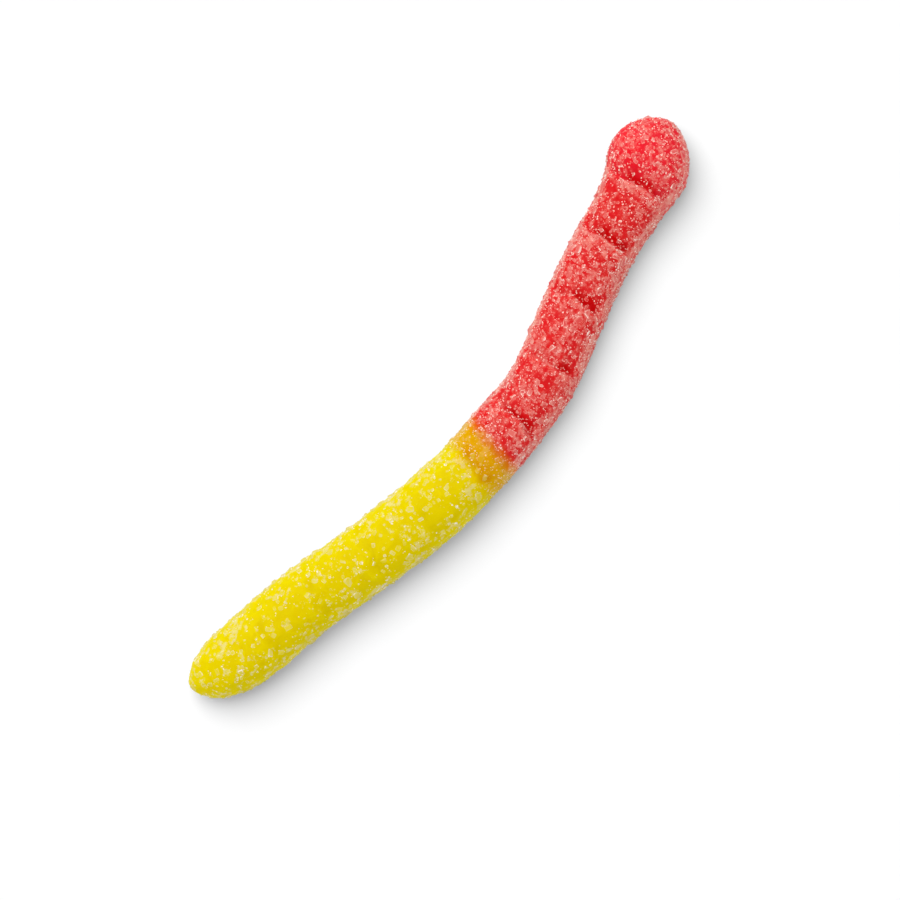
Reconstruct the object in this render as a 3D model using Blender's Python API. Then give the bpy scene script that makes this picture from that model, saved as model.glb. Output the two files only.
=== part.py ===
"""Sugared two-colour gummy worm, lying on the flat side that its mould leaves.

Metres, +Z up. +X runs straight from the tail to the head, and the origin is the middle of the jelly's box
on the surface that it lies on. The worm is one solid: the moulded jelly, with its largest sugar crystals
fused to it.
"""

import math
import random

import bmesh
import bpy
import numpy as np
from mathutils import Euler, Matrix, Vector

NAME = "gummy_worm"

# Middle line. Each bend is a distance from the tail's tip and the heading there, in degrees from +X.
LENGTH = 0.0916
BENDS = (
    (0.006, -17.5),
    (0.012, -8.0),
    (0.022, -16.0),
    (0.034, -11.5),
    (0.045, -1.5),
    (0.052, 0.0),
    (0.060, 17.5),
    (0.068, 16.5),
    (0.078, 8.0),
    (0.085, 16.5),
)
BEND_SMOOTHING = 0.003
LINE_STEP = 0.0001

# Jelly. Each width is a distance from the tail's tip and the full width of the jelly there.
WIDTHS = (
    (0.008, 0.0084),
    (0.012, 0.00865),
    (0.021, 0.0085),
    (0.027, 0.0085),
    (0.033, 0.00865),
    (0.038, 0.00875),
    (0.0435, 0.00835),
    (0.048, 0.00855),
    (0.053, 0.0080),
    (0.060, 0.0081),
    (0.070, 0.00795),
    (0.078, 0.0080),
    (0.0815, 0.00865),
    (0.085, 0.0104),
)
# Height as a share of the width, at distances from the tail's tip. The head is flatter.
HEIGHT_SHARES = ((0.0780, 0.86), (0.0850, 0.78))
WIDTH_SMOOTHING = 0.003
WIDTH_SAMPLES = 13
TAIL_TAPER = 0.0082
TAIL_BLUNTNESS = 0.58
HEAD_TAPER = 0.0062
HEAD_BLUNTNESS = 0.62

# Section. The jelly is widest a little above its flat underside, and its top is a slightly squared arch.
WIDEST_AT = 0.34
ARCH_SQUARENESS = 2.25
BASE_TO_WIDTH = 0.86

# Rings that the mould leaves round the back. Each is a distance from the tail's tip and a depth.
GROOVES = (
    (0.0118, 0.00022),
    (0.0196, 0.00024),
    (0.0276, 0.00027),
    (0.0355, 0.00030),
    (0.0434, 0.00032),
    (0.0514, 0.00055),
    (0.0590, 0.00060),
    (0.0670, 0.00055),
    (0.0753, 0.00060),
    (0.0827, 0.00060),
)
GROOVE_WALL = 0.0008
GROOVE_RUN_OUT = 0.0013
RUN_OUT_POWER = 1.5
LIP_SWELL = 0.3
LIP_RUN_UP = 0.0028
GROOVE_SLANT = math.radians(6)
GROOVE_FADE = (math.radians(18), math.radians(52))

# Colours along the worm, with the amber band where the two jellies ran together.
YELLOW_END = 0.0433
AMBER_END = 0.0472
SUGAR_WHITE = (0.93, 0.87, 0.76, 1.0)
JELLY_YELLOW = (0.83, 0.66, 0.0, 1.0)
JELLY_AMBER = (0.78, 0.33, 0.01, 1.0)
JELLY_RED = (0.78, 0.02, 0.03, 1.0)
JELLY_ROUGHNESS = 0.4
SUGAR_ROUGHNESS = 0.5

# Mesh of the jelly
ARCH_FACES = 14
LOWEST_EDGE = 0.87
TIP_RINGS = 9
RINGS_AROUND_GROOVE = (-0.0019, -0.0010, -0.0006, -0.0002, 0.0003, 0.0009, 0.0017, 0.0027, 0.0040)
SMALLEST_RING_GAP = 0.00025
SHARP_FROM = math.radians(35)

# Sugar crystals that show from a step away
CRYSTALS = 200
CRYSTAL_SIZE = (0.0005, 0.0008)
CRYSTAL_STRETCH = (0.8, 1.3)
CRYSTAL_SINK = 0.22
CRYSTAL_TILT = math.radians(35)
CRYSTAL_LOWEST = 0.0008
CRYSTAL_REACH = math.radians(30)
BARE_TIP = 0.3
CHIPPED_CORNERS = 4
CHIP_SIZE = 0.25
CHOICES_FOR_A_PLACE = 12
ANGLE_STEP = math.radians(1)
SEED = 7


def smoothstep(value):
    """0 below 0, 1 above 1 and an even S between."""
    value = np.clip(value, 0.0, 1.0)
    return value * value * (3 - 2 * value)


def middle_line():
    """Distances along the worm, with the place and the heading of its middle line at each."""
    distance = np.arange(-LINE_STEP, LENGTH + 2 * LINE_STEP, LINE_STEP)
    heading = np.interp(distance, *zip(*BENDS))
    window = int(BEND_SMOOTHING / LINE_STEP) | 1
    heading = np.pad(heading, window // 2, mode="edge")
    heading = np.radians(np.convolve(heading, np.ones(window) / window, mode="valid"))
    places = np.stack((np.cumsum(np.cos(heading)), np.cumsum(np.sin(heading))), axis=1) * LINE_STEP
    return distance, places, heading


DISTANCE, PLACES, HEADING = middle_line()


def tip_factor(distance):
    """How far the section has grown from a tip: 0 at both tips, 1 between the tapers."""
    tail = np.clip(1 - distance / TAIL_TAPER, 0.0, 1.0)
    head = np.clip(1 - (LENGTH - distance) / HEAD_TAPER, 0.0, 1.0)
    return (1 - tail**2) ** TAIL_BLUNTNESS * (1 - head**2) ** HEAD_BLUNTNESS


def half_width(distance):
    """Half the jelly's width before the tips are rounded off, with its steps smoothed."""
    spread = np.linspace(-0.5, 0.5, WIDTH_SAMPLES) * WIDTH_SMOOTHING
    return np.interp(distance + spread, *zip(*WIDTHS)).mean() / 2


def groove_relief(distance):
    """Height of the back over its plain arch: each groove is a steep wall, a floor and a gentle way out."""
    relief = 0.0
    for at, depth in GROOVES:
        past = distance - at
        if past < 0:
            wall = 1 - smoothstep(-past / GROOVE_WALL)
            lip = LIP_SWELL * smoothstep(1 + past / LIP_RUN_UP)
            relief += depth * (lip * (1 - wall) - wall)
        else:
            relief -= depth * math.exp(-((past / GROOVE_RUN_OUT) ** RUN_OUT_POWER))
    return relief


def skin_point(distance, angle):
    """Point of the jelly's skin; the angle goes over the back from 0 on the left to pi on the right."""
    half = half_width(distance)
    height = 2 * half * np.interp(distance, *zip(*HEIGHT_SHARES))
    grown = tip_factor(distance)
    middle = WIDEST_AT * height
    cosine, sine = math.cos(angle), math.sin(angle)
    if sine >= 0:
        low, high = GROOVE_FADE
        edge = min(angle, math.pi - angle)
        relief = groove_relief(distance) * smoothstep((edge - low) / (high - low)) * grown
        power = 2 / ARCH_SQUARENESS
        across = math.copysign(abs(cosine) ** power, cosine) * half * grown
        up = sine**power * (height - middle) * grown
        reach = 1 + relief / math.hypot(across, up) if grown > 0 else 1.0
        across, up = across * reach, middle + up * reach
    else:
        depth = middle / math.sqrt(1 - BASE_TO_WIDTH**2)
        across = cosine * half * grown
        up = max(0.0, middle + sine * depth * grown)
    slant = math.tan(GROOVE_SLANT) * across * grown
    along = min(max(distance + slant, DISTANCE[0]), DISTANCE[-1])
    x, y, heading = (np.interp(along, DISTANCE, row) for row in (PLACES[:, 0], PLACES[:, 1], HEADING))
    return Vector((x - math.sin(heading) * across, y + math.cos(heading) * across, up))


def ring_angles(distance):
    """Angles of one ring's points: over the back, down the right side, under the base and up the left.

    The second point down each side is the base's edge, except at the tips, which curve clear of the base.
    """
    edge = math.asin(min(math.sqrt(1 - BASE_TO_WIDTH**2) / tip_factor(distance), LOWEST_EDGE))
    back = [math.pi * k / ARCH_FACES for k in range(ARCH_FACES + 1)]
    right = [math.pi + edge * part for part in (0.5, 1.0)]
    base = [math.pi + edge + (math.pi - 2 * edge) * part for part in (0.25, 0.5, 0.75)]
    left = [math.tau - edge * part for part in (1.0, 0.5)]
    return back + right + base + left


def ring_distances():
    """Where the rings stand: close at the tips and round each groove."""
    steps = [1 - math.cos(math.pi / 2 * k / TIP_RINGS) for k in range(1, TIP_RINGS)]
    rings = [TAIL_TAPER * step for step in steps]
    rings += [LENGTH - HEAD_TAPER * step for step in steps]
    for at, _ in GROOVES:
        rings += [at + offset for offset in RINGS_AROUND_GROOVE]
    rings.sort()
    kept = [rings[0]]
    for ring in rings[1:]:
        if ring - kept[-1] > SMALLEST_RING_GAP:
            kept.append(ring)
    return kept


def jelly_mesh():
    """The moulded jelly: rings along the middle line, closed by a point at each tip."""
    bm = bmesh.new()
    rings = [[bm.verts.new(skin_point(d, a)) for a in ring_angles(d)] for d in ring_distances()]
    round_ring = [(k, (k + 1) % len(rings[0])) for k in range(len(rings[0]))]
    for ring, onward in zip(rings, rings[1:]):
        for k, after in round_ring:
            bm.faces.new((ring[k], onward[k], onward[after], ring[after]))
    tail, head = bm.verts.new(skin_point(0.0, 0.0)), bm.verts.new(skin_point(LENGTH, 0.0))
    for k, after in round_ring:
        bm.faces.new((tail, rings[0][k], rings[0][after]))
        bm.faces.new((head, rings[-1][after], rings[-1][k]))
    bmesh.ops.recalc_face_normals(bm, faces=bm.faces)
    colour_faces(bm)
    mesh = bpy.data.meshes.new(NAME)
    bm.to_mesh(mesh)
    bm.free()
    return mesh


def colour_faces(bm):
    """Gives each face of the jelly the yellow, amber or red of its place along the worm."""
    for face in bm.faces:
        centre = face.calc_center_median()
        nearest = np.argmin((PLACES[:, 0] - centre.x) ** 2 + (PLACES[:, 1] - centre.y) ** 2)
        distance = DISTANCE[nearest]
        face.material_index = int(distance > YELLOW_END) + int(distance > AMBER_END)


def material(name, colour, roughness):
    made = bpy.data.materials.new(name)
    made.use_nodes = True
    shader = made.node_tree.nodes["Principled BSDF"]
    shader.inputs["Base Color"].default_value = colour
    shader.inputs["Roughness"].default_value = roughness
    made.diffuse_color = colour
    return made


def crystal_mesh(draw, size):
    """A sugar crystal: a block with some corners chipped off, its middle at the origin."""
    bm = bmesh.new()
    bmesh.ops.create_cube(bm, size=size)
    stretch = [draw.uniform(*CRYSTAL_STRETCH) for _ in range(3)]
    bmesh.ops.scale(bm, vec=stretch, verts=bm.verts)
    corners = draw.sample(list(bm.verts), CHIPPED_CORNERS)
    bmesh.ops.bevel(bm, geom=corners, offset=size * CHIP_SIZE, affect="VERTICES", segments=1)
    mesh = bpy.data.meshes.new("crystal")
    bm.to_mesh(mesh)
    bm.free()
    return mesh


def drawn_place(draw):
    """A random distance and angle where the skin is clear of the surface below and not too near a tip."""
    while True:
        distance = draw.uniform(0, LENGTH)
        angle = draw.uniform(-CRYSTAL_REACH, math.pi + CRYSTAL_REACH)
        if tip_factor(distance) > BARE_TIP and skin_point(distance, angle).z > CRYSTAL_LOWEST:
            return distance, angle


def spread_places(draw):
    """Places spread evenly over the skin: each is the one furthest from the others of a few drawn."""
    kept = []
    points = []
    for _ in range(CRYSTALS):
        choices = [drawn_place(draw) for _ in range(CHOICES_FOR_A_PLACE)]
        clear = [min(((skin_point(*c) - p).length for p in points), default=0.0) for c in choices]
        kept.append(choices[clear.index(max(clear))])
        points.append(skin_point(*kept[-1]))
    return kept


def outward_at(distance, angle):
    """The skin's outward direction."""
    along = skin_point(distance + LINE_STEP, angle) - skin_point(distance - LINE_STEP, angle)
    over = skin_point(distance, angle + ANGLE_STEP) - skin_point(distance, angle - ANGLE_STEP)
    return over.cross(along).normalized()


def crystal_objects(sugar):
    """The largest crystals, each turned and tilted its own way and sunk a little into the skin."""
    draw = random.Random(SEED)
    group = bpy.data.collections.new("sugar_crystals")
    bpy.context.scene.collection.children.link(group)
    for distance, angle in spread_places(draw):
        size = draw.uniform(*CRYSTAL_SIZE)
        mesh = crystal_mesh(draw, size)
        mesh.materials.append(sugar)
        crystal = bpy.data.objects.new("crystal", mesh)
        outward = outward_at(distance, angle)
        lie = outward.to_track_quat("Z", "Y").to_matrix().to_4x4()
        tilts = [draw.uniform(-CRYSTAL_TILT, CRYSTAL_TILT) for _ in range(2)]
        turn = Euler((*tilts, draw.uniform(0, math.tau))).to_matrix().to_4x4()
        place = skin_point(distance, angle) - outward * (CRYSTAL_SINK * size)
        crystal.matrix_world = Matrix.Translation(place) @ lie @ turn
        group.objects.link(crystal)
    return group


def fuse(worm, group):
    """Joins the group's objects to the worm with one union, then removes them."""
    union = worm.modifiers.new("fused_sugar", "BOOLEAN")
    union.operation = "UNION"
    union.operand_type = "COLLECTION"
    union.collection = group
    union.solver = "EXACT"
    union.material_mode = "TRANSFER"
    bpy.context.view_layer.objects.active = worm
    bpy.ops.object.modifier_apply(modifier=union.name)
    for crystal in list(group.objects):
        bpy.data.objects.remove(crystal)
    bpy.data.collections.remove(group)


def keep_largest_body(mesh):
    """Drops loose scraps that a union can leave, so that the worm stays one body."""
    bm = bmesh.new()
    bm.from_mesh(mesh)
    waiting = set(bm.verts)
    bodies = []
    while waiting:
        body, front = set(), [waiting.pop()]
        while front:
            vert = front.pop()
            body.add(vert)
            near = {edge.other_vert(vert) for edge in vert.link_edges} & waiting
            waiting -= near
            front.extend(near)
        bodies.append(body)
    largest = max(bodies, key=len)
    scraps = [vert for vert in bm.verts if vert not in largest]
    bmesh.ops.delete(bm, geom=scraps, context="VERTS")
    bm.to_mesh(mesh)
    bm.free()


def middle_of_underside(mesh):
    """Middle of the mesh's box at its lowest level."""
    corners = np.array([vert.co for vert in mesh.vertices])
    low, high = corners.min(axis=0), corners.max(axis=0)
    middle = (low + high) / 2
    return Vector((middle[0], middle[1], low[2]))


def main():
    for old in list(bpy.data.objects):
        bpy.data.objects.remove(old)
    worm = bpy.data.objects.new(NAME, jelly_mesh())
    bpy.context.scene.collection.objects.link(worm)
    worm.data.materials.append(material("yellow_jelly", JELLY_YELLOW, JELLY_ROUGHNESS))
    worm.data.materials.append(material("amber_jelly", JELLY_AMBER, JELLY_ROUGHNESS))
    worm.data.materials.append(material("red_jelly", JELLY_RED, JELLY_ROUGHNESS))
    jelly_middle = middle_of_underside(worm.data)
    fuse(worm, crystal_objects(material("sugar", SUGAR_WHITE, SUGAR_ROUGHNESS)))
    keep_largest_body(worm.data)
    worm.data.transform(Matrix.Translation(-jelly_middle))
    worm.data.shade_smooth()
    worm.data.set_sharp_from_angle(angle=SHARP_FROM)


main()
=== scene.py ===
"""Sugared two-colour gummy worm: its looks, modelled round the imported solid.

Metres, +Z up, in the solid's own frame: +X runs straight from the tail to the head, and the worm lies on z = 0.
"""

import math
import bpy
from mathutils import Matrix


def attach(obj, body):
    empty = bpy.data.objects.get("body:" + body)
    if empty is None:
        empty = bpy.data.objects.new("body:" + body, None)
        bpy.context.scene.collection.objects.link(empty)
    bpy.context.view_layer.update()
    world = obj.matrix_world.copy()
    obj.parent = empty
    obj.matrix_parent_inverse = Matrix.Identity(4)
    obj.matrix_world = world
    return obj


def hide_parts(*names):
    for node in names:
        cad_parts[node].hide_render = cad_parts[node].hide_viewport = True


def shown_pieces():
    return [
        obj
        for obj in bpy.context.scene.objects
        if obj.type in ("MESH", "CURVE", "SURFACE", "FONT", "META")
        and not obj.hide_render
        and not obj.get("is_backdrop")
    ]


bl_info = {
    "name": "Sugared gummy worm",
    "version": (1, 0, 0),
    "blender": (4, 5, 0),
    "location": "View3D > Sidebar > Gummy worm",
    "description": "Models a two-colour gummy worm with its coat of sugar, and the stage that shows it",
    "category": "Add Mesh",
}

from types import SimpleNamespace

import bpy
import numpy as np
from bpy.props import FloatProperty, FloatVectorProperty, IntProperty, PointerProperty
from mathutils import Matrix, Vector, noise

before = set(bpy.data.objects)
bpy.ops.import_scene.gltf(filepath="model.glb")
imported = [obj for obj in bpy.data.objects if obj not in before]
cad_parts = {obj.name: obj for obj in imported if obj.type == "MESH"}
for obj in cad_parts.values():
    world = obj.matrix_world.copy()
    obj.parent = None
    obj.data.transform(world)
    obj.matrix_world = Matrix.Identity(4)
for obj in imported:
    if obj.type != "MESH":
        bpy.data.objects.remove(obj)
WORM = "gummy_worm"

# Middle line, as the solid has it. Each bend is a distance from the tail's tip and a heading in degrees from +X.
LENGTH = 0.0916
BENDS = (
    (0.006, -17.5),
    (0.012, -8.0),
    (0.022, -16.0),
    (0.034, -11.5),
    (0.045, -1.5),
    (0.052, 0.0),
    (0.060, 17.5),
    (0.068, 16.5),
    (0.078, 8.0),
    (0.085, 16.5),
)
BEND_SMOOTHING = 0.003
LINE_STEP = 0.0001

# Jelly, as the solid has it. Each width is a distance from the tail's tip and the full width there.
WIDTHS = (
    (0.008, 0.0084),
    (0.012, 0.00865),
    (0.021, 0.0085),
    (0.027, 0.0085),
    (0.033, 0.00865),
    (0.038, 0.00875),
    (0.0435, 0.00835),
    (0.048, 0.00855),
    (0.053, 0.0080),
    (0.060, 0.0081),
    (0.070, 0.00795),
    (0.078, 0.0080),
    (0.0815, 0.00865),
    (0.085, 0.0104),
)
# Height as a share of the width, at distances from the tail's tip. The head is flatter.
HEIGHT_SHARES = ((0.0780, 0.86), (0.0850, 0.78))
WIDTH_SMOOTHING = 0.003
WIDTH_SAMPLES = 13
TAIL_TAPER = 0.0082
TAIL_BLUNTNESS = 0.58
HEAD_TAPER = 0.0062
HEAD_BLUNTNESS = 0.62

# Section. The jelly is widest a little above its flat underside, and its top is a slightly squared arch.
WIDEST_AT = 0.34
ARCH_SQUARENESS = 2.25
BASE_TO_WIDTH = 0.86

# Rings that the mould leaves round the back. Each is a distance from the tail's tip and a depth.
GROOVES = (
    (0.0118, 0.00022),
    (0.0196, 0.00024),
    (0.0276, 0.00027),
    (0.0355, 0.00030),
    (0.0434, 0.00032),
    (0.0514, 0.00055),
    (0.0590, 0.00060),
    (0.0670, 0.00055),
    (0.0753, 0.00060),
    (0.0827, 0.00060),
)
GROOVE_WALL = 0.0008
GROOVE_RUN_OUT = 0.0013
RUN_OUT_POWER = 1.5
LIP_SWELL = 0.3
LIP_RUN_UP = 0.0028
GROOVE_SLANT = math.radians(6)
GROOVE_FADE = (math.radians(18), math.radians(52))

# What the finer skin adds to the rings: how far each wanders along the worm, how wide the yellow ones are, how
# unevenly deep they are, and how much deeper on the right than on the left
GROOVE_WANDER = 0.0006
YELLOW_WALL = 1.8
GROOVE_UNEVENNESS = 0.8
GROOVE_SKEW = 0.6
HEAD_GROOVE = 0.75
WANDER_SIZE = 0.0024

# Mesh of the jelly. Its rings stand closer together at the tips than in between.
JELLY_SEGMENTS = 144
JELLY_RINGS = 540
TIP_CROWDING = 0.5
JELLY_INSET = 0.0001
JELLY_LOWEST = 0.00003

# Where the colours change, as distances from the tail's tip. The last three lean over towards the head's left.
YELLOW_END = 0.0420
AMBER_START = 0.0443
AMBER_END = 0.0458
ORANGE_AT = 0.0468
RED_START = 0.0477
NECK_END = 0.0800
HEAD_START = 0.0850
COLOUR_SLANT = math.radians(3)
COLOUR_WANDER = 0.0004

# Coat of sugar: how thick it lies on the back, and what the sides, the lips and the grooves add or take away
COAT_ON_BACK = 0.24
COAT_ON_LEFT = (0.26, 0.54, 0.40, -0.22)
COAT_ON_RIGHT = (0.14, 0.30, 0.33, 0.33)
COAT_UNDER = 0.35
COAT_ON_LIPS = (0.05, 0.12)
COAT_IN_GROOVES = -0.08
SIDE_FROM, SIDE_TO = 0.74, 1.0
SHOULDER = math.radians(32)
SIDE_FALL = 0.75
SIDE_UNEVENNESS = 0.5
PATCH_SIZES = (0.0026, 0.0009, 0.00045)
PATCH_STRENGTHS = ((0.28, 0.12), (0.40, 0.16), (0.40, 0.30))
# Painted shade and thinner film at the bottoms of the grooves: their patch size, patchiness and sharpness
PIT_SIZE = 0.0012
PIT_PATCHINESS = 1.2
PIT_SHARPNESS = 4.5

# Grains: models of each kind, how far they tip, and how much of the skin's own direction their facets shade with
GRAIN_MODELS = 6
GRAIN_TIP = math.radians(12)
GRAIN_SOFTNESS = 0.5
UV_MAP = "OFBake"
# How squarely a facet may face outward before it is painted paler, as painted reflection and real edge scatter
RIM_FACING = 0.97
FACET_UNEVENNESS = 0.12
# Painted glints: how white the glinting grains are painted, clump size and threshold, and how many more glint in
# clumps
SPARKLE = (0.94, 1.0)
CLUMP_SIZE = 0.0012
CLUMP_FROM = 0.3
SPARKLE_IN_CLUMPS = 5.0
BLOCK_CHAMFER = 0.14
UV_SIZE = (0.004, 0.008)
UV_MARGIN = 0.004

# Powers that thin a light frost on the yellow, and the film of syrup and dust on the skin
FILM_ON_YELLOW = 4.0
GRAINS_ON_YELLOW = 1.5
CRUMB_SIZE = 0.00017
WHITE_FROM = 0.9
FILM_SPREAD = 0.90
FILM_FROM = (0.80, 0.60)
FILM_TO = (1.00, 1.10)
FILM_THICKEST = (0.70, 0.74)
FILM_HAZE = 0.16
FILM_LEAST = 0.02

# How deep red, green and blue light goes into the yellow jelly and into the red, as shares of one depth
RADIUS_IN_YELLOW = (1.0, 0.85, 0.1, 1.0)
RADIUS_IN_RED = (1.0, 0.2, 0.15, 1.0)

# Stage, in the photograph's terms: its scale, where it shows the origin and the direction of +X in it
PHOTO_SIDE = 900
PIXEL = 0.00012
ORIGIN_PIXEL = (460.2, 429.65)
HEADING_IN_PHOTO = math.radians(50.19)
AIM_LEVEL = 0.003
SENSOR = 36.0
WALL_TOP = (0.13, 0.18)


def linear(hex_colour):
    """The linear colour, with alpha, of an sRGB hex value such as #E0D010."""
    channels = [int(hex_colour[k : k + 2], 16) / 255 for k in (1, 3, 5)]
    return (*((c / 12.92 if c <= 0.04045 else ((c + 0.055) / 1.055) ** 2.4) for c in channels), 1.0)


def colour_property(name, description, hex_colour):
    return FloatVectorProperty(
        name=name,
        description=description,
        subtype="COLOR",
        size=4,
        min=0.0,
        max=1.0,
        default=linear(hex_colour),
    )


class JellySettings(bpy.types.PropertyGroup):
    yellow: colour_property("Yellow", "Jelly of the tail", "#DFCB00")
    amber: colour_property("Amber", "Where the two jellies ran together", "#DAA200")
    orange: colour_property("Orange", "Last of the amber, beside the red", "#D67006")
    red: colour_property("Red", "Jelly between the amber and the head", "#D80A16")
    # The head's jelly is given a brighter red than the body's
    head: colour_property("Head's red", "Jelly of the head, which is thicker", "#E4102A")
    # Painted shade: multiplied into the red at the bottoms of the grooves to darken them
    deep: colour_property("Depth", "What the bottoms of the grooves keep of the red", "#F28484")
    frosted_yellow: colour_property("Frosted yellow", "Sugar over the yellow jelly", "#E2D494")
    frosted_amber: colour_property("Frosted amber", "Sugar over the amber jelly", "#E1B14E")
    frosted_red: colour_property("Frosted red", "Sugar over the red jelly", "#EA9E91")
    lump_height: FloatProperty(
        name="Lump height",
        description="Height of the soft unevenness of the skin",
        unit="LENGTH",
        default=0.00034,
        min=0.0,
        precision=5,
    )
    pimple_height: FloatProperty(
        name="Pimple height",
        description="Height of the fine unevenness, where syrup set round the sugar",
        unit="LENGTH",
        default=0.00008,
        min=0.0,
        precision=5,
    )


class SugarSettings(bpy.types.PropertyGroup):
    colour: colour_property("Sugar", "Where a crystal scatters white light", "#FFF6EC")
    coarse: IntProperty(name="Coarse", description="Number of crystals near 0.7 mm", default=1300, min=1)
    medium: IntProperty(name="Medium", description="Number of crystals near 0.4 mm", default=4100, min=1)
    fine: IntProperty(name="Fine", description="Number of crystals near 0.2 mm", default=11500, min=1)


class StageSettings(bpy.types.PropertyGroup):
    distance: FloatProperty(
        name="Camera distance", description="From the worm", unit="LENGTH", default=0.45, min=0.05
    )
    tilt: FloatProperty(
        name="Camera tilt",
        description="How far the camera leans off the vertical, towards the worm's right",
        subtype="ANGLE",
        default=math.radians(8),
    )
    light_from: FloatProperty(
        name="Light from",
        description="Direction of the main light in the picture, anticlockwise from the right",
        subtype="ANGLE",
        default=math.radians(122),
    )
    light_height: FloatProperty(
        name="Light height",
        description="Elevation of the main light above the stage",
        subtype="ANGLE",
        default=math.radians(65),
    )
    light_width: FloatProperty(
        name="Light width",
        description="How wide the main light is, seen from the worm",
        subtype="ANGLE",
        default=math.radians(56),
    )
    light_strength: FloatProperty(
        name="Light strength", description="Strength of the main light", default=2.5, min=0.0
    )
    fill_strength: FloatProperty(
        name="Fill strength",
        description="Strength of the light that a card on the other side throws back at the worm",
        default=0.42,
        min=0.0,
    )
    ceiling_width: FloatProperty(
        name="Ceiling width",
        description="How wide the lit ceiling is, seen from the worm",
        subtype="ANGLE",
        default=math.radians(150),
    )
    ceiling_strength: FloatProperty(
        name="Ceiling strength", description="Strength of the light from the ceiling", default=1.03, min=0.0
    )
    wall_light: FloatProperty(
        name="Wall light", description="Brightness of the white walls, low round the stage", default=0.6, min=0.0
    )
    room_light: FloatProperty(
        name="Room light", description="Brightness of the room above its walls", default=0.03, min=0.0
    )


def smoothstep(value):
    """0 below 0, 1 above 1 and an even S between."""
    value = np.clip(value, 0.0, 1.0)
    return value * value * (3 - 2 * value)


def middle_line():
    """Distances along the worm, with the place and the heading of its middle line at each."""
    distance = np.arange(-LINE_STEP, LENGTH + 2 * LINE_STEP, LINE_STEP)
    heading = np.interp(distance, *zip(*BENDS))
    window = int(BEND_SMOOTHING / LINE_STEP) | 1
    heading = np.pad(heading, window // 2, mode="edge")
    heading = np.radians(np.convolve(heading, np.ones(window) / window, mode="valid"))
    places = np.stack((np.cumsum(np.cos(heading)), np.cumsum(np.sin(heading))), axis=1) * LINE_STEP
    return distance, places, heading


DISTANCE, PLACES, HEADING = middle_line()


def tip_factor(distance):
    """How far the section has grown from a tip: 0 at both tips, 1 between the tapers."""
    tail = np.clip(1 - distance / TAIL_TAPER, 0.0, 1.0)
    head = np.clip(1 - (LENGTH - distance) / HEAD_TAPER, 0.0, 1.0)
    return (1 - tail**2) ** TAIL_BLUNTNESS * (1 - head**2) ** HEAD_BLUNTNESS


def half_width(distance):
    """Half the jelly's width before the tips are rounded off, with its steps smoothed."""
    spread = np.linspace(-0.5, 0.5, WIDTH_SAMPLES) * WIDTH_SMOOTHING
    return np.interp(np.add.outer(distance, spread), *zip(*WIDTHS)).mean(axis=-1) / 2


def grooves_at(distance):
    """The skin's relief over its plain arch, and how far down a groove and up a lip it is, from 0 to 1."""
    relief, down, lip = (np.zeros_like(distance) for _ in range(3))
    for at, depth in GROOVES:
        past = distance - at
        wall = 1 - smoothstep(-past / (GROOVE_WALL * (YELLOW_WALL if at < YELLOW_END else 1.0)))
        floor = np.exp(-((np.maximum(past, 0) / GROOVE_RUN_OUT) ** RUN_OUT_POWER))
        fall = np.where(past < 0, wall, floor)
        rise = np.where(past < 0, smoothstep(1 + past / LIP_RUN_UP) * (1 - wall), 0.0)
        relief += depth * (LIP_SWELL * rise - fall)
        down = np.maximum(down, fall)
        lip = np.maximum(lip, rise)
    return relief, down, lip


def groove_fade(angle):
    """How much of a groove is left at an angle round the section: all over the back, nothing down the sides."""
    low, high = GROOVE_FADE
    edge = np.minimum(angle, math.pi - angle)
    return smoothstep((edge - low) / (high - low))


def patches(places, size, layer):
    """Soft random patches of about this size over the places, from -1 to 1. Each layer has its own."""
    shift = Vector((0.0, 0.0, 31.7 * layer))
    return np.array([noise.noise(Vector(place) / size + shift) for place in places])


def uneven_grooves(distance, angle):
    """The relief and how far down a groove and up a lip it is, with each groove wandering and unevenly deep."""
    radius = half_width(distance)
    places = np.stack((distance, radius * np.cos(angle), radius * np.sin(angle)), axis=-1)
    wandered = distance + GROOVE_WANDER * patches(places, WANDER_SIZE, 11)
    uneven = 1 + GROOVE_UNEVENNESS * patches(places, WANDER_SIZE, 12) - GROOVE_SKEW * np.cos(angle)
    depth = groove_fade(angle) * np.clip(uneven, 0.2, 1.4)
    depth *= np.interp(distance, (NECK_END, HEAD_START), (1.0, HEAD_GROOVE))
    return (depth * row for row in grooves_at(wandered))


def skin_points(distance, angle, relief):
    """Points of the jelly's skin; the angle goes over the back from 0 on the left to pi on the right."""
    half = half_width(distance)
    height = 2 * half * np.interp(distance, *zip(*HEIGHT_SHARES))
    grown = tip_factor(distance)
    middle = WIDEST_AT * height
    cosine, sine = np.cos(angle), np.sin(angle)
    power = 2 / ARCH_SQUARENESS
    back = sine >= 0
    depth = middle / math.sqrt(1 - BASE_TO_WIDTH**2)
    across = np.where(back, np.copysign(np.abs(cosine) ** power, cosine), cosine) * half * grown
    up = np.where(back, np.maximum(sine, 0) ** power * (height - middle), sine * depth) * grown
    relief = relief * grown
    reach = 1 + np.where(back, relief, 0.0) / np.maximum(np.hypot(across, up), LINE_STEP)
    across, up = across * reach, np.maximum(0.0, middle + up * reach)
    slant = math.tan(GROOVE_SLANT) * across * grown
    along = np.clip(distance + slant, DISTANCE[0], DISTANCE[-1])
    x, y, heading = (np.interp(along, DISTANCE, row) for row in (PLACES[:, 0], PLACES[:, 1], HEADING))
    return np.stack((x - np.sin(heading) * across, y + np.cos(heading) * across, up), axis=-1)


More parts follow.
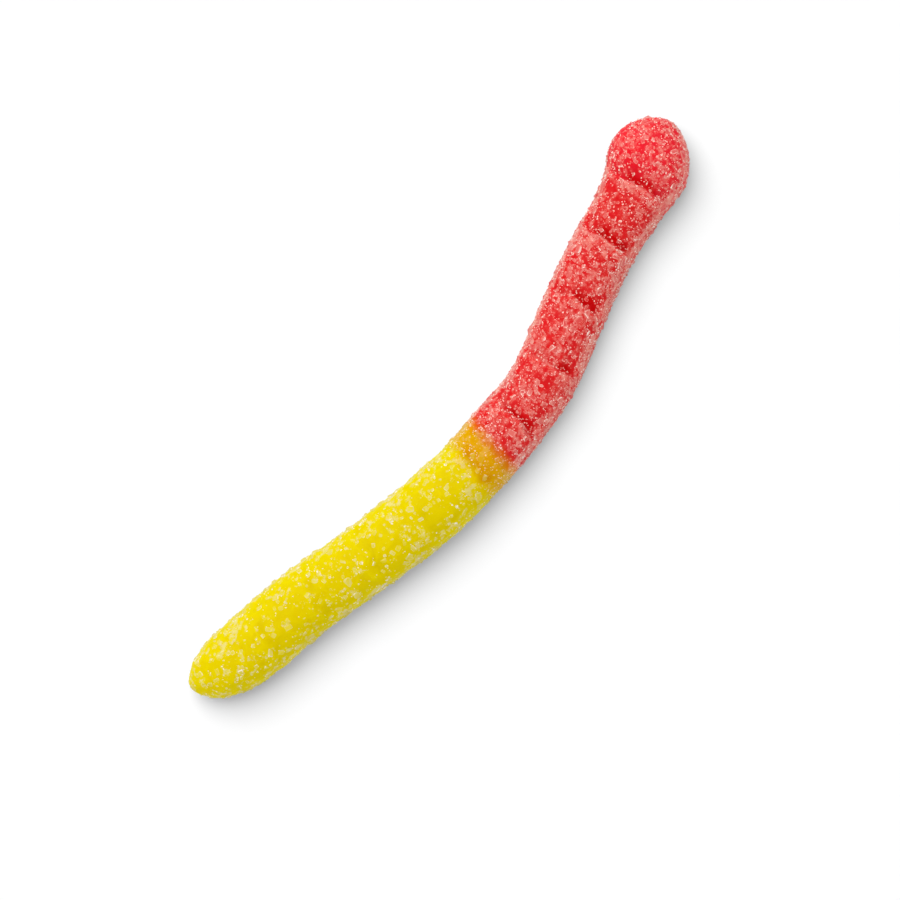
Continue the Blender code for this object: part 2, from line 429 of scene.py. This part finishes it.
def coat_at(share, angle, places, down, lip):
    """How thick the sugar lies, from 0 to 1."""
    stops = np.array((YELLOW_END, RED_START, NECK_END, HEAD_START)) / LENGTH
    left, right = (np.interp(share, stops, coats) for coats in (COAT_ON_LEFT, COAT_ON_RIGHT))
    low = smoothstep(1 - np.arcsin(np.sin(angle)) / SHOULDER)
    on_sides = np.where(np.cos(angle) > 0, left, right) * (1 - SIDE_FALL * low)
    side = smoothstep((np.abs(np.cos(angle)) - SIDE_FROM) / (SIDE_TO - SIDE_FROM))
    under = smoothstep(-2 * np.sin(angle))
    coat = COAT_ON_BACK + on_sides * side + COAT_UNDER * under * (1 - side)
    coat += np.interp(share, stops[:2], COAT_ON_LIPS) * lip + COAT_IN_GROOVES * down
    for layer, (size, strengths) in enumerate(zip(PATCH_SIZES, PATCH_STRENGTHS)):
        uneven = np.interp(share, stops[:2], strengths) * (1 + SIDE_UNEVENNESS * low)
        coat += uneven * patches(places, size, layer)
    return np.clip(coat, 0.0, 1.0)


def colour_share(distance, angle, places):
    """Place in the colour ramp, from 0 at the tail to 1 at the head, with the changes slanted and uneven."""
    across = np.cos(angle) * half_width(distance)
    wander = COLOUR_WANDER * patches(places, 0.0012, 7)
    return np.clip((distance - math.tan(COLOUR_SLANT) * across + wander) / LENGTH, 0.0, 1.0)


def deselect_all():
    for piece in bpy.context.selected_objects:
        piece.select_set(False)


def vertex_places(mesh):
    places = np.empty(len(mesh.vertices) * 3, np.float32)
    mesh.vertices.foreach_get("co", places)
    return places.reshape(-1, 3).astype(float)


def set_attribute(mesh, name, values):
    mesh.attributes.new(name, "FLOAT", "POINT").data.foreach_set("value", values.astype(np.float32))


def roughen(piece, name, grain, height):
    """Raises and lowers the skin by a cloudy pattern of this grain."""
    texture = bpy.data.textures.new(name, "CLOUDS")
    texture.noise_scale = grain
    modifier = piece.modifiers.new(name, "DISPLACE")
    modifier.texture = texture
    modifier.texture_coords = "LOCAL"
    modifier.strength = height
    bpy.ops.object.modifier_apply(modifier=name)


def unroll(mesh, share, angle):
    """A map of the skin in two rows, the tail's half below the head's, cut open along the underside."""
    layer = mesh.uv_layers.new(name=UV_MAP)
    corner_of = np.empty(len(mesh.loops), np.int32)
    mesh.loops.foreach_get("vertex_index", corner_of)
    size_of = np.empty(len(mesh.polygons), np.int32)
    mesh.polygons.foreach_get("loop_total", size_of)
    first = np.concatenate(([0], np.cumsum(size_of)[:-1]))
    along = share[corner_of]
    middle = np.repeat(np.add.reduceat(along, first) / size_of, size_of)
    round_it = ((angle + math.pi / 2) % math.tau / math.tau)[corner_of]
    furthest = np.repeat(np.maximum.reduceat(round_it, first), size_of)
    round_it = np.where(furthest - round_it > 0.5, round_it + 1.0, round_it)
    head = middle > 0.5
    u = np.where(head, 2 * along - 1, 2 * along)
    v = (np.where(head, 1.0, 0.0) + UV_MARGIN + round_it * (1 - 2 * UV_MARGIN)) / 2
    u = UV_MARGIN + u * (1 - 2 * UV_MARGIN)
    layer.uv.foreach_set("vector", np.stack((u, v), axis=-1).astype(np.float32).ravel())


def add_node(tree, kind, inputs=(), **settings):
    """Adds a node. settings are its own properties, and inputs gives sockets a value or the output that feeds them."""
    node = tree.nodes.new(kind)
    for name, value in settings.items():
        setattr(node, name, value)
    for name, value in dict(inputs).items():
        if isinstance(value, bpy.types.NodeSocket):
            tree.links.new(value, node.inputs[name])
        else:
            node.inputs[name].default_value = value
    return node


def new_material(name):
    """A new material with its node tree and its shader."""
    material = bpy.data.materials.new(name)
    material.use_nodes = True
    return material, material.node_tree, material.node_tree.nodes["Principled BSDF"]


def mixed(tree, factor, first, second, how="MIX"):
    """The output of a node that mixes two colours."""
    inputs = {0: factor, 6: first, 7: second}
    return add_node(tree, "ShaderNodeMix", inputs, data_type="RGBA", blend_type=how).outputs[2]


def map_range(tree, value, low, high, to_low=0.0, to_high=1.0, how="LINEAR"):
    """The output of a node that maps one range of a value to another, and holds it there outside."""
    inputs = {"Value": value, "From Min": low, "From Max": high, "To Min": to_low, "To Max": to_high}
    return add_node(tree, "ShaderNodeMapRange", inputs, interpolation_type=how).outputs["Result"]


def ramp_along(tree, share, stops):
    """A colour that changes along the worm through stops, each a distance from the tail's tip and a colour."""
    ramp = add_node(tree, "ShaderNodeValToRGB", {"Fac": share})
    elements = ramp.color_ramp.elements
    while len(elements) < len(stops):
        elements.new(0.5)
    for element, (distance, colour) in zip(elements, stops):
        element.position = distance / LENGTH
        element.color = colour
    return ramp.outputs["Color"]


def redness_at(tree, share):
    """0 on the yellow, 1 on the red and even between."""
    return map_range(tree, share, YELLOW_END / LENGTH, RED_START / LENGTH)


def sugared(tree, share, frost, on_yellow, pit_shade_and_bareness, jelly, sugar):
    """The colour at a place along the worm under so much frost: the jelly's own at 0, sugar over it to WHITE_FROM,
    and bare white sugar at 1. on_yellow is the power that thins a light frost on the yellow. At the bottoms of
    the grooves the red is darkened, as painted shade."""
    bare = ramp_along(
        tree,
        share,
        (
            (YELLOW_END, jelly.yellow),
            (AMBER_START, jelly.amber),
            (AMBER_END, jelly.amber),
            (ORANGE_AT, jelly.orange),
            (RED_START, jelly.red),
            (NECK_END, jelly.red),
            (HEAD_START, jelly.head),
        ),
    )
    frosted = ramp_along(
        tree,
        share,
        (
            (YELLOW_END, jelly.frosted_yellow),
            (AMBER_START, jelly.frosted_amber),
            (AMBER_END, jelly.frosted_amber),
            (RED_START, jelly.frosted_red),
        ),
    )
    redness = redness_at(tree, share)
    power = map_range(tree, redness, 0.0, 1.0, on_yellow, 1.0)
    frosting = map_range(tree, frost, 0.0, WHITE_FROM)
    cover = add_node(tree, "ShaderNodeMath", {0: frosting, 1: power}, operation="POWER").outputs[0]
    # Painted shade: how much darker the red is painted at the bottoms of the grooves
    depth = add_node(tree, "ShaderNodeMath", {0: redness, 1: pit_shade_and_bareness}, operation="MULTIPLY").outputs[0]
    groove_shaded = mixed(tree, depth, bare, jelly.deep, "MULTIPLY")
    white = map_range(tree, frost, WHITE_FROM, 1.0)
    return mixed(tree, white, mixed(tree, cover, groove_shaded, frosted), sugar.colour)


def jelly_material(jelly, sugar):
    """Gelatine jelly, moulded in starch: light sinks in and comes back strongly coloured. Dried syrup and the
    finest of the sugar lie on it as a broken milky film."""
    material, tree, shader = new_material("moulded_gelatine_jelly")
    share = add_node(tree, "ShaderNodeAttribute", attribute_name="colour_share").outputs["Fac"]
    coat = add_node(tree, "ShaderNodeAttribute", attribute_name="coat").outputs["Fac"]
    # Painted shade at the bottoms of the grooves, which also sweeps the film thin there
    pit_shade_and_bareness = add_node(tree, "ShaderNodeAttribute", attribute_name="pit_shade_and_bareness").outputs["Fac"]
    place = add_node(tree, "ShaderNodeTexCoord").outputs["Object"]
    crumbs = add_node(
        tree,
        "ShaderNodeTexNoise",
        {"Vector": place, "Scale": 1 / CRUMB_SIZE, "Detail": 3.0, "Roughness": 0.75},
    ).outputs["Fac"]
    level = add_node(tree, "ShaderNodeMath", {0: crumbs, 1: FILM_SPREAD, 2: coat}, operation="MULTIPLY_ADD")
    redness = redness_at(tree, share)
    low, high, thickest = (map_range(tree, redness, 0.0, 1.0, *pair) for pair in (FILM_FROM, FILM_TO, FILM_THICKEST))
    film = map_range(tree, level.outputs[0], low, high, 0.0, thickest, "SMOOTHSTEP")
    haze = add_node(tree, "ShaderNodeMath", {0: coat, 1: FILM_HAZE, 2: FILM_LEAST}, operation="MULTIPLY_ADD")
    film = add_node(tree, "ShaderNodeMath", {0: haze.outputs[0], 1: film}, operation="ADD").outputs[0]
    swept = map_range(tree, pit_shade_and_bareness, 0.0, 1.0, 1.0, 0.1)
    film = add_node(tree, "ShaderNodeMath", {0: film, 1: swept}, operation="MULTIPLY").outputs[0]
    tree.links.new(sugared(tree, share, film, FILM_ON_YELLOW, pit_shade_and_bareness, jelly, sugar), shader.inputs["Base Color"])
    bump = add_node(tree, "ShaderNodeBump", {"Height": crumbs, "Strength": 0.4, "Distance": 0.00006})
    tree.links.new(bump.outputs["Normal"], shader.inputs["Normal"])
    shader.inputs["Roughness"].default_value = 0.45
    shader.inputs["IOR"].default_value = 1.45
    shader.inputs["Specular IOR Level"].default_value = 0.02
    shader.inputs["Subsurface Weight"].default_value = 1.0
    depths = mixed(tree, redness, RADIUS_IN_YELLOW, RADIUS_IN_RED)
    tree.links.new(depths, shader.inputs["Subsurface Radius"])
    shader.inputs["Subsurface Scale"].default_value = 0.0028
    return material


def sugar_material(jelly, sugar):
    """Refined cane sugar in crystals, softened by steam: clear, so that it takes the colour of the jelly below,
    and white where its edges and cracks scatter the light."""
    material, tree, shader = new_material("refined_sugar_crystals")
    uv = add_node(tree, "ShaderNodeUVMap", uv_map=UV_MAP).outputs["UV"]
    split = add_node(tree, "ShaderNodeSeparateXYZ", {"Vector": uv})
    colour = sugared(tree, split.outputs["X"], split.outputs["Y"], GRAINS_ON_YELLOW, 0.0, jelly, sugar)
    tree.links.new(colour, shader.inputs["Base Color"])
    shader.inputs["Roughness"].default_value = 0.4
    shader.inputs["IOR"].default_value = 1.56
    shader.inputs["Specular IOR Level"].default_value = 0.12
    return material


def skin_of(jelly):
    """The jelly's triangles: corners, area, outward direction, and the values kept at their vertices."""
    mesh = jelly.data
    mesh.calc_loop_triangles()
    corners = np.empty(len(mesh.loop_triangles) * 3, np.int32)
    mesh.loop_triangles.foreach_get("vertices", corners)
    corners = corners.reshape(-1, 3)
    places = vertex_places(mesh)
    a, b, c = places[corners].transpose(1, 0, 2)
    normal = np.cross(b - a, c - a)
    double_area = np.linalg.norm(normal, axis=1)
    values = {}
    for name in ("colour_share", "coat"):
        values[name] = np.empty(len(places), np.float32)
        mesh.attributes[name].data.foreach_get("value", values[name])
    return SimpleNamespace(
        places=places,
        corners=corners,
        area=double_area / 2,
        outward=normal / np.maximum(double_area, 1e-12)[:, None],
        **values,
    )


def drawn_places(skin, rng, count, evenness, on_yellow):
    """Random places on the skin, more of them where the coat is thick, with the skin's values there."""
    coat = skin.coat[skin.corners].mean(axis=1)
    share = skin.colour_share[skin.corners].mean(axis=1)
    wanted = np.interp(share, (YELLOW_END / LENGTH, AMBER_START / LENGTH), (on_yellow, 1.0))
    chance = skin.area * (evenness + coat) * wanted
    chosen = rng.choice(len(chance), size=count, p=chance / chance.sum())
    parts = rng.dirichlet((1.0, 1.0, 1.0), count)
    corners = skin.corners[chosen]
    return SimpleNamespace(
        place=(skin.places[corners] * parts[:, :, None]).sum(axis=1),
        outward=skin.outward[chosen],
        colour_share=(skin.colour_share[corners] * parts).sum(axis=1),
        coat=(skin.coat[corners] * parts).sum(axis=1),
    )


def grain_model(sides, seed):
    """One sugar crystal, 1 across with its middle at the origin, as points and triangles: a chip with so many
    sloping sides, or a block with its edges worn off if sides is 0."""
    deselect_all()
    if sides:
        bpy.ops.mesh.primitive_cone_add(vertices=sides, radius1=0.58, radius2=0.34, depth=1.0)
    else:
        bpy.ops.mesh.primitive_cube_add(size=1.0)
    bpy.ops.object.mode_set(mode="EDIT")
    bpy.ops.mesh.select_all(action="SELECT")
    if not sides:
        bpy.ops.mesh.bevel(offset=BLOCK_CHAMFER, segments=1, affect="EDGES")
        bpy.ops.mesh.select_all(action="SELECT")
    bpy.ops.transform.vertex_random(offset=0.15, seed=seed)
    bpy.ops.mesh.quads_convert_to_tris()
    bpy.ops.object.mode_set(mode="OBJECT")
    crystal = bpy.context.object
    points = vertex_places(crystal.data)
    faces = np.array([list(face.vertices) for face in crystal.data.polygons])
    bpy.data.objects.remove(crystal)
    return points, faces


def grain_turns(outward, rng):
    """A turn for each grain: its own Z tipped a little off the skin's outward direction, its X anywhere."""
    up = outward + rng.normal(size=outward.shape) * math.tan(GRAIN_TIP)
    up /= np.linalg.norm(up, axis=1)[:, None]
    side = np.cross(up, rng.normal(size=outward.shape))
    side /= np.linalg.norm(side, axis=1)[:, None]
    return np.stack((side, np.cross(up, side), up), axis=-1)


def sugar_mesh(name, points, faces, normals, share, frost, material):
    """A piece of sugar. Each triangle has its own direction to shade with, place along the worm and frost, and
    shows the last two by its place in the map."""
    mesh = bpy.data.meshes.new(name)
    mesh.from_pydata(points, [], faces, shade_flat=False)
    layer = mesh.uv_layers.new(name=UV_MAP)
    middle = np.clip(np.stack((share, frost), axis=-1), 0.02, 0.98)[:, None, :]
    corners = middle + np.array(((-0.5, -0.4), (0.5, -0.4), (0.0, 0.6))) * UV_SIZE
    layer.uv.foreach_set("vector", corners.astype(np.float32).ravel())
    mesh.normals_split_custom_set(np.repeat(normals, 3, axis=0))
    mesh.materials.append(material)
    piece = bpy.data.objects.new(name, mesh)
    bpy.context.scene.collection.objects.link(piece)
    piece.visible_shadow = False
    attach(piece, "root")
    return piece


def grain_piece(name, skin, kind, material):
    """One piece of many grains of a kind, each a copy of one of a few models with its own size and lie."""
    rng = np.random.default_rng(kind.seed)
    spots = drawn_places(skin, rng, kind.count, kind.evenness, kind.on_yellow)
    size = kind.smallest * (kind.largest / kind.smallest) ** rng.uniform(0, 1, kind.count) ** 1.6
    stretch = rng.uniform((0.8, 0.6, 0.45), (1.4, 1.0, 0.8), (kind.count, 3)) * size[:, None]
    turns = grain_turns(spots.outward, rng)
    proud = rng.uniform(*kind.proud, kind.count) * size
    middle = spots.place + spots.outward * (proud - stretch[:, 2] / 2)[:, None]
    frost = rng.uniform(*kind.frost, kind.count)
    clumped = patches(spots.place, CLUMP_SIZE, 21) > CLUMP_FROM
    # Painted glints: a few grains, more of them in clumps, are painted almost white for the light their facets catch
    sparkling = rng.uniform(size=kind.count) < kind.sparkling * np.where(clumped, SPARKLE_IN_CLUMPS, 1.0)
    frost = np.where(sparkling, rng.uniform(*SPARKLE, kind.count), frost)
    model_of = rng.integers(GRAIN_MODELS, size=kind.count)
    points, faces, normals, shares, frosts = [], [], [], [], []
    first = 0
    for number in range(GRAIN_MODELS):
        model, triangles = grain_model(kind.sides, number)
        own = model_of == number
        shaped = model * stretch[own][:, None, :]
        placed = np.einsum("gij,gvj->gvi", turns[own], shaped) + middle[own][:, None, :]
        placed[:, :, 2] = np.maximum(placed[:, :, 2], 0.0)
        a, b, c = (placed[:, triangles[:, k]] for k in range(3))
        normal = np.cross(b - a, c - a)
        normal /= np.maximum(np.linalg.norm(normal, axis=2), 1e-15)[:, :, None]
        outward = spots.outward[own][:, None, :]
        facing = (normal * outward).sum(axis=2)
        soft = normal + (outward - normal) * GRAIN_SOFTNESS
        normals.append((soft / np.linalg.norm(soft, axis=2)[:, :, None]).reshape(-1, 3))
        # Painted reflection, and partly the real white of scattering edges: facets turned from the skin's outward
        # direction are paler
        rim = smoothstep((RIM_FACING - facing) / 0.3)
        facet = frost[own][:, None] * (kind.top + (1 - kind.top) * rim) + rng.normal(0, FACET_UNEVENNESS, facing.shape)
        frosts.append(facet.ravel())
        shares.append(np.repeat(spots.colour_share[own], facing.shape[1]))
        starts = first + len(model) * np.arange(own.sum())
        faces.append((triangles[None] + starts[:, None, None]).reshape(-1, 3))
        points.append(placed.reshape(-1, 3))
        first += placed.shape[0] * placed.shape[1]
    parts = (np.concatenate(part) for part in (points, faces, normals, shares, frosts))
    return sugar_mesh(name, *parts, material)


class GUMMY_OT_jelly(bpy.types.Operator):
    """Models the moulded jelly from a sphere, ring by ring, and roughens its skin"""

    bl_idname = "gummy.jelly"
    bl_label = "Moulded jelly"

    def execute(self, context):
        settings = context.scene.gummy_jelly
        deselect_all()
        bpy.ops.mesh.primitive_uv_sphere_add(
            segments=JELLY_SEGMENTS, ring_count=JELLY_RINGS, radius=1.0, rotation=(0.0, math.pi / 2, 0.0)
        )
        bpy.ops.object.transform_apply(rotation=True)
        jelly = context.object
        jelly.name = jelly.data.name = "jelly"
        ball = vertex_places(jelly.data)
        share = np.arccos(np.clip(-ball[:, 0], -1, 1)) / math.pi
        distance = LENGTH * (share - TIP_CROWDING * np.sin(math.tau * share) / math.tau)
        angle = np.arctan2(ball[:, 2], ball[:, 1]) % math.tau
        relief, down, lip = uneven_grooves(distance, angle)
        places = skin_points(distance, angle, relief)
        places[:, :2] -= (places.min(axis=0) + places.max(axis=0))[:2] / 2
        jelly.data.vertices.foreach_set("co", places.astype(np.float32).ravel())
        jelly.data.update()
        coloured = colour_share(distance, angle, places)
        set_attribute(jelly.data, "colour_share", coloured)
        set_attribute(jelly.data, "coat", coat_at(coloured, angle, places, down, lip))
        # Painted shade at the bottoms of the grooves, where the film is also swept thin
        pit_shade_and_bareness = np.clip(down**PIT_SHARPNESS * (0.8 + PIT_PATCHINESS * patches(places, PIT_SIZE, 8)), 0.0, 1.0)
        set_attribute(jelly.data, "pit_shade_and_bareness", pit_shade_and_bareness)
        unroll(jelly.data, share, angle)
        inset = jelly.modifiers.new("inset", "DISPLACE")
        inset.mid_level = 0.0
        inset.strength = -JELLY_INSET
        bpy.ops.object.modifier_apply(modifier=inset.name)
        roughen(jelly, "lumps", 0.0015, settings.lump_height)
        roughen(jelly, "pimples", 0.00035, settings.pimple_height)
        places = vertex_places(jelly.data)
        places[:, 2] = np.maximum(places[:, 2], JELLY_LOWEST)
        jelly.data.vertices.foreach_set("co", places.astype(np.float32).ravel())
        jelly.data.update()
        bpy.ops.object.shade_smooth()
        jelly.data.materials.append(jelly_material(settings, context.scene.gummy_sugar))
        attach(jelly, "root")
        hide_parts(WORM)
        return {"FINISHED"}


class GUMMY_OT_sugar(bpy.types.Operator):
    """Scatters the sugar over the jelly, one piece for each size of grain"""

    bl_idname = "gummy.sugar"
    bl_label = "Coat of sugar"

    def execute(self, context):
        sugar = context.scene.gummy_sugar
        skin = skin_of(bpy.data.objects["jelly"])
        material = sugar_material(context.scene.gummy_jelly, sugar)
        kinds = {
            "sugar_coarse": SimpleNamespace(
                count=sugar.coarse,
                smallest=0.00038,
                largest=0.00080,
                sides=0,
                proud=(0.10, 0.24),
                frost=(0.45, 1.0),
                top=0.4,
                evenness=0.25,
                on_yellow=0.9,
                sparkling=0.03,
                seed=1,
            ),
            "sugar_medium": SimpleNamespace(
                count=sugar.medium,
                smallest=0.00024,
                largest=0.00050,
                sides=5,
                proud=(0.12, 0.30),
                frost=(0.25, 1.0),
                top=0.7,
                evenness=0.15,
                on_yellow=0.34,
                sparkling=0.12,
                seed=2,
            ),
            "sugar_fine": SimpleNamespace(
                count=sugar.fine,
                smallest=0.00013,
                largest=0.00026,
                sides=4,
                proud=(0.20, 0.40),
                frost=(0.35, 0.95),
                top=1.0,
                evenness=0.15,
                on_yellow=0.18,
                sparkling=0.25,
                seed=3,
            ),
        }
        for name, kind in kinds.items():
            grain_piece(name, skin, kind, material)
        return {"FINISHED"}


def picture_directions():
    """The picture's right and up, as directions on the stage."""
    turn = Matrix.Rotation(-HEADING_IN_PHOTO, 3, "Z")
    return turn @ Vector((1, 0, 0)), turn @ Vector((0, 1, 0))


def in_picture(x, y):
    """The place on the stage that a pixel of the photograph shows, at the level that the camera aims at."""
    right, up = picture_directions()
    place = right * ((x - ORIGIN_PIXEL[0]) * PIXEL) - up * ((y - ORIGIN_PIXEL[1]) * PIXEL)
    return place + Vector((0, 0, AIM_LEVEL))


class GUMMY_OT_stage(bpy.types.Operator):
    """Sets up the white floor, the soft light from one side and the camera above the worm"""

    bl_idname = "gummy.stage"
    bl_label = "Stage"

    def execute(self, context):
        stage = context.scene.gummy_stage
        deselect_all()
        bpy.ops.mesh.primitive_plane_add(size=3.0)
        floor = context.object
        floor.name = "floor"
        material, _, shader = new_material("white_card")
        shader.inputs["Base Color"].default_value = linear("#F8F8F8")
        shader.inputs["Roughness"].default_value = 0.9
        shader.inputs["Specular IOR Level"].default_value = 0.0
        floor.data.materials.append(material)
        floor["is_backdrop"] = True
        self.light(context, stage)
        self.camera(context, stage)
        context.scene.view_settings.view_transform = "Standard"
        return {"FINISHED"}

    def add_sun(self, context, name, azimuth, height, width, strength):
        level = math.cos(height)
        towards = Vector((level * math.cos(azimuth), level * math.sin(azimuth), math.sin(height)))
        lamp = bpy.data.lights.new(name, "SUN")
        lamp.angle = width
        lamp.energy = strength
        sun = bpy.data.objects.new(name, lamp)
        sun.rotation_euler = towards.to_track_quat("Z", "Y").to_euler()
        context.scene.collection.objects.link(sun)
        return sun

    def light(self, context, stage):
        azimuth = stage.light_from - HEADING_IN_PHOTO
        self.add_sun(context, "window", azimuth, stage.light_height, stage.light_width, stage.light_strength)
        self.add_sun(context, "ceiling", 0.0, math.pi / 2, stage.ceiling_width, stage.ceiling_strength)
        card = self.add_sun(
            context, "card", azimuth + math.pi, math.radians(20), math.radians(60), stage.fill_strength
        )
        card.data.use_shadow = False
        lit = bpy.data.collections.new("lit_by_card")
        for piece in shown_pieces():
            lit.objects.link(piece)
            piece.visible_diffuse = False  # the worm's colour doesn't reach the floor, so its shadow is plain grey
        card.light_linking.receiver_collection = lit
        self.room(context, stage)

    def room(self, context, stage):
        world = bpy.data.worlds.new("white_room")
        world.use_nodes = True
        tree = world.node_tree
        direction = add_node(tree, "ShaderNodeTexCoord").outputs["Generated"]
        height = add_node(tree, "ShaderNodeSeparateXYZ", {"Vector": direction}).outputs["Z"]
        glow = map_range(tree, height, *WALL_TOP, stage.wall_light, stage.room_light, "SMOOTHSTEP")
        background = tree.nodes["Background"]
        background.inputs["Color"].default_value = (1.0, 1.0, 1.0, 1.0)
        tree.links.new(glow, background.inputs["Strength"])
        context.scene.world = world

    def camera(self, context, stage):
        right, up = picture_directions()
        lean = Matrix.Rotation(stage.tilt, 3, "X")
        axes = lean @ Matrix((right, up, Vector((0, 0, 1)))).transposed()
        data = bpy.data.cameras.new("camera")
        data.sensor_width = SENSOR
        data.lens = SENSOR * stage.distance / (PHOTO_SIDE * PIXEL)
        data.clip_start = stage.distance / 10
        data.clip_end = 10.0
        camera = bpy.data.objects.new("camera", data)
        aim = in_picture(PHOTO_SIDE / 2, PHOTO_SIDE / 2)
        camera.matrix_world = Matrix.Translation(aim + axes.col[2] * stage.distance) @ axes.to_4x4()
        context.scene.collection.objects.link(camera)
        context.scene.camera = camera


class GUMMY_PT_panel(bpy.types.Panel):
    bl_label = "Gummy worm"
    bl_idname = "GUMMY_PT_panel"
    bl_space_type = "VIEW_3D"
    bl_region_type = "UI"
    bl_category = "Gummy worm"

    def draw(self, context):
        for group, operator in (
            ("gummy_jelly", GUMMY_OT_jelly),
            ("gummy_sugar", GUMMY_OT_sugar),
            ("gummy_stage", GUMMY_OT_stage),
        ):
            box = self.layout.box()
            box.operator(operator.bl_idname)
            settings = getattr(context.scene, group)
            for name in settings.__annotations__:
                box.prop(settings, name)


SETTINGS = {"gummy_jelly": JellySettings, "gummy_sugar": SugarSettings, "gummy_stage": StageSettings}
CLASSES = (*SETTINGS.values(), GUMMY_OT_jelly, GUMMY_OT_sugar, GUMMY_OT_stage, GUMMY_PT_panel)


def register():
    for made in CLASSES:
        bpy.utils.register_class(made)
    for name, group in SETTINGS.items():
        setattr(bpy.types.Scene, name, PointerProperty(type=group))


def unregister():
    for name in SETTINGS:
        delattr(bpy.types.Scene, name)
    for made in reversed(CLASSES):
        bpy.utils.unregister_class(made)


def main():
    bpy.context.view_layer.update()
    register()
    bpy.ops.gummy.jelly()
    bpy.ops.gummy.sugar()
    bpy.ops.gummy.stage()


if __name__ == "__main__":
    main()
